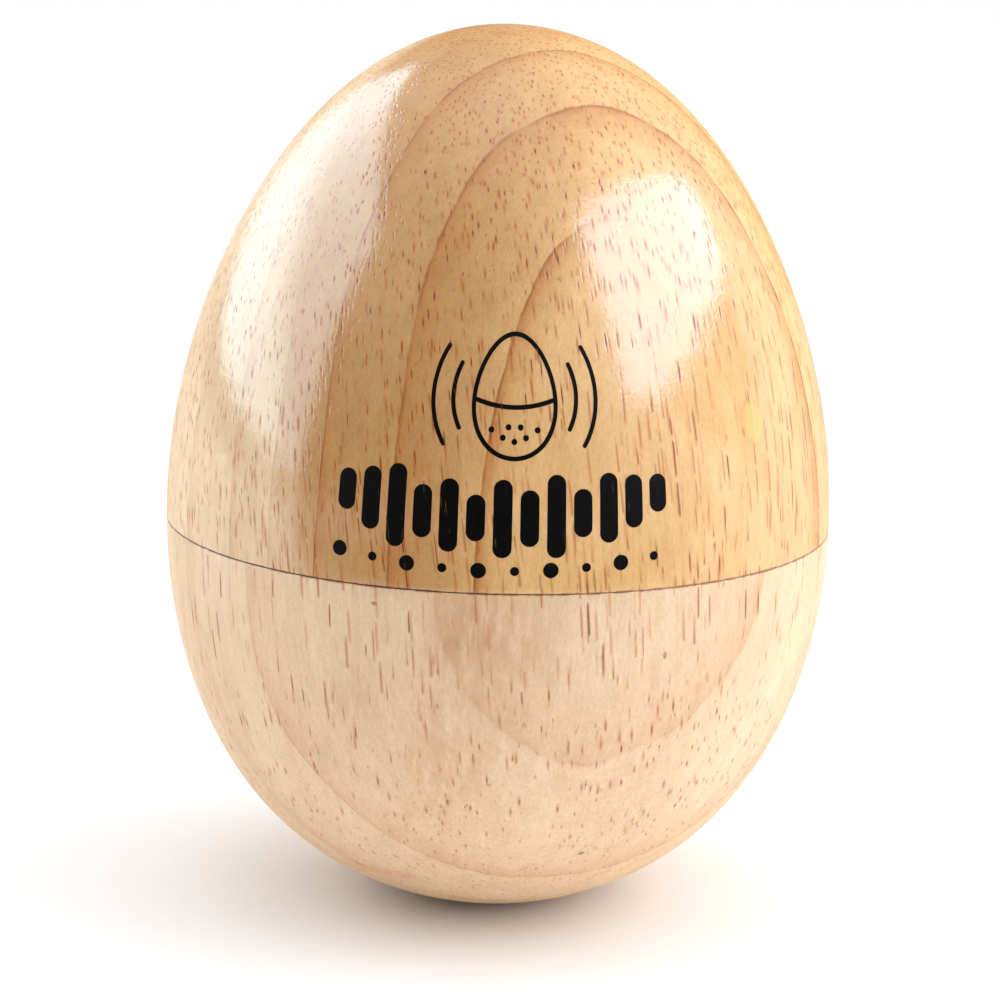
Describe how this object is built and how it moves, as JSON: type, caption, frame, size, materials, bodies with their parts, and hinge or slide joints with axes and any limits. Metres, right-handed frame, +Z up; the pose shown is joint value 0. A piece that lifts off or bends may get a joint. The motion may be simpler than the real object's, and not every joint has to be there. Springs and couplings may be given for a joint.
{
  "type": "egg shaker",
  "caption": "Egg-shaped hand percussion shaker: two turned wooden shells glued on a hidden spigot joint around a chamber of loose steel shot.",
  "frame": {"origin": "middle of the small flat on the blunt end, which the egg stands on", "axes": "+Z up the long axis to the narrow end; -Y is the side with the printed motif; +X completes the frame"},
  "size_m": [0.0576, 0.0576, 0.076],
  "materials": {
    "wood_upper": "pale hardwood, tan, lengthwise grain, clear gloss varnish",
    "wood_lower": "pale hardwood, cream, lengthwise grain, clear gloss varnish",
    "wood_glue": "cured wood glue, amber brown",
    "steel_shot": "tumbled steel shot, lightly scuffed",
    "print_ink": "black pad-printed ink under clear varnish"
  },
  "bodies": {
    "shell": {"upper_shell": "wood_upper", "lower_shell": "wood_lower", "glue_film": "wood_glue"},
    "shot_01": {"steel_shot_01": "steel_shot"},
    "shot_02": {"steel_shot_02": "steel_shot"},
    "shot_03": {"steel_shot_03": "steel_shot"},
    "shot_04": {"steel_shot_04": "steel_shot"},
    "shot_05": {"steel_shot_05": "steel_shot"},
    "shot_06": {"steel_shot_06": "steel_shot"},
    "shot_07": {"steel_shot_07": "steel_shot"},
    "shot_08": {"steel_shot_08": "steel_shot"},
    "shot_09": {"steel_shot_09": "steel_shot"},
    "shot_10": {"steel_shot_10": "steel_shot"},
    "shot_11": {"steel_shot_11": "steel_shot"},
    "shot_12": {"steel_shot_12": "steel_shot"},
    "shot_13": {"steel_shot_13": "steel_shot"},
    "shot_14": {"steel_shot_14": "steel_shot"},
    "shot_15": {"steel_shot_15": "steel_shot"},
    "shot_16": {"steel_shot_16": "steel_shot"},
    "shot_17": {"steel_shot_17": "steel_shot"},
    "shot_18": {"steel_shot_18": "steel_shot"},
    "shot_19": {"steel_shot_19": "steel_shot"},
    "shot_20": {"steel_shot_20": "steel_shot"},
    "shot_21": {"steel_shot_21": "steel_shot"},
    "shot_22": {"steel_shot_22": "steel_shot"},
    "shot_23": {"steel_shot_23": "steel_shot"},
    "shot_24": {"steel_shot_24": "steel_shot"},
    "shot_25": {"steel_shot_25": "steel_shot"},
    "shot_26": {"steel_shot_26": "steel_shot"},
    "shot_27": {"steel_shot_27": "steel_shot"},
    "shot_28": {"steel_shot_28": "steel_shot"},
    "shot_29": {"steel_shot_29": "steel_shot"},
    "shot_30": {"steel_shot_30": "steel_shot"},
    "shot_31": {"steel_shot_31": "steel_shot"},
    "shot_32": {"steel_shot_32": "steel_shot"},
    "shot_33": {"steel_shot_33": "steel_shot"},
    "shot_34": {"steel_shot_34": "steel_shot"},
    "shot_35": {"steel_shot_35": "steel_shot"},
    "shot_36": {"steel_shot_36": "steel_shot"},
    "shot_37": {"steel_shot_37": "steel_shot"}
  },
  "joints": [
    {"name": "shot_01_flight", "type": "slide", "parent": "shell", "child": "shot_01", "axis": [0, 0, 1], "range_m": [0, 0.05659]},
    {"name": "shot_02_flight", "type": "slide", "parent": "shell", "child": "shot_02", "axis": [0, 0, 1], "range_m": [0, 0.05572]},
    {"name": "shot_03_flight", "type": "slide", "parent": "shell", "child": "shot_03", "axis": [0, 0, 1], "range_m": [0, 0.05572]},
    {"name": "shot_04_flight", "type": "slide", "parent": "shell", "child": "shot_04", "axis": [0, 0, 1], "range_m": [0, 0.05572]},
    {"name": "shot_05_flight", "type": "slide", "parent": "shell", "child": "shot_05", "axis": [0, 0, 1], "range_m": [0, 0.05572]},
    {"name": "shot_06_flight", "type": "slide", "parent": "shell", "child": "shot_06", "axis": [0, 0, 1], "range_m": [0, 0.05572]},
    {"name": "shot_07_flight", "type": "slide", "parent": "shell", "child": "shot_07", "axis": [0, 0, 1], "range_m": [0, 0.05572]},
    {"name": "shot_08_flight", "type": "slide", "parent": "shell", "child": "shot_08", "axis": [0, 0, 1], "range_m": [0, 0.05301]},
    {"name": "shot_09_flight", "type": "slide", "parent": "shell", "child": "shot_09", "axis": [0, 0, 1], "range_m": [0, 0.05301]},
    {"name": "shot_10_flight", "type": "slide", "parent": "shell", "child": "shot_10", "axis": [0, 0, 1], "range_m": [0, 0.05301]},
    {"name": "shot_11_flight", "type": "slide", "parent": "shell", "child": "shot_11", "axis": [0, 0, 1], "range_m": [0, 0.05301]},
    {"name": "shot_12_flight", "type": "slide", "parent": "shell", "child": "shot_12", "axis": [0, 0, 1], "range_m": [0, 0.05301]},
    {"name": "shot_13_flight", "type": "slide", "parent": "shell", "child": "shot_13", "axis": [0, 0, 1], "range_m": [0, 0.05301]},
    {"name": "shot_14_flight", "type": "slide", "parent": "shell", "child": "shot_14", "axis": [0, 0, 1], "range_m": [0, 0.05301]},
    {"name": "shot_15_flight", "type": "slide", "parent": "shell", "child": "shot_15", "axis": [0, 0, 1], "range_m": [0, 0.05301]},
    {"name": "shot_16_flight", "type": "slide", "parent": "shell", "child": "shot_16", "axis": [0, 0, 1], "range_m": [0, 0.05301]},
    {"name": "shot_17_flight", "type": "slide", "parent": "shell", "child": "shot_17", "axis": [0, 0, 1], "range_m": [0, 0.05301]},
    {"name": "shot_18_flight", "type": "slide", "parent": "shell", "child": "shot_18", "axis": [0, 0, 1], "range_m": [0, 0.05301]},
    {"name": "shot_19_flight", "type": "slide", "parent": "shell", "child": "shot_19", "axis": [0, 0, 1], "range_m": [0, 0.05301]},
    {"name": "shot_20_flight", "type": "slide", "parent": "shell", "child": "shot_20", "axis": [0, 0, 1], "range_m": [0, 0.04807]},
    {"name": "shot_21_flight", "type": "slide", "parent": "shell", "child": "shot_21", "axis": [0, 0, 1], "range_m": [0, 0.04807]},
    {"name": "shot_22_flight", "type": "slide", "parent": "shell", "child": "shot_22", "axis": [0, 0, 1], "range_m": [0, 0.04807]},
    {"name": "shot_23_flight", "type": "slide", "parent": "shell", "child": "shot_23", "axis": [0, 0, 1], "range_m": [0, 0.04807]},
    {"name": "shot_24_flight", "type": "slide", "parent": "shell", "child": "shot_24", "axis": [0, 0, 1], "range_m": [0, 0.04807]},
    {"name": "shot_25_flight", "type": "slide", "parent": "shell", "child": "shot_25", "axis": [0, 0, 1], "range_m": [0, 0.04807]},
    {"name": "shot_26_flight", "type": "slide", "parent": "shell", "child": "shot_26", "axis": [0, 0, 1], "range_m": [0, 0.04807]},
    {"name": "shot_27_flight", "type": "slide", "parent": "shell", "child": "shot_27", "axis": [0, 0, 1], "range_m": [0, 0.04807]},
    {"name": "shot_28_flight", "type": "slide", "parent": "shell", "child": "shot_28", "axis": [0, 0, 1], "range_m": [0, 0.04807]},
    {"name": "shot_29_flight", "type": "slide", "parent": "shell", "child": "shot_29", "axis": [0, 0, 1], "range_m": [0, 0.04807]},
    {"name": "shot_30_flight", "type": "slide", "parent": "shell", "child": "shot_30", "axis": [0, 0, 1], "range_m": [0, 0.04807]},
    {"name": "shot_31_flight", "type": "slide", "parent": "shell", "child": "shot_31", "axis": [0, 0, 1], "range_m": [0, 0.04807]},
    {"name": "shot_32_flight", "type": "slide", "parent": "shell", "child": "shot_32", "axis": [0, 0, 1], "range_m": [0, 0.04807]},
    {"name": "shot_33_flight", "type": "slide", "parent": "shell", "child": "shot_33", "axis": [0, 0, 1], "range_m": [0, 0.04807]},
    {"name": "shot_34_flight", "type": "slide", "parent": "shell", "child": "shot_34", "axis": [0, 0, 1], "range_m": [0, 0.04807]},
    {"name": "shot_35_flight", "type": "slide", "parent": "shell", "child": "shot_35", "axis": [0, 0, 1], "range_m": [0, 0.04807]},
    {"name": "shot_36_flight", "type": "slide", "parent": "shell", "child": "shot_36", "axis": [0, 0, 1], "range_m": [0, 0.04807]},
    {"name": "shot_37_flight", "type": "slide", "parent": "shell", "child": "shot_37", "axis": [0, 0, 1], "range_m": [0, 0.04807]}
  ]
}
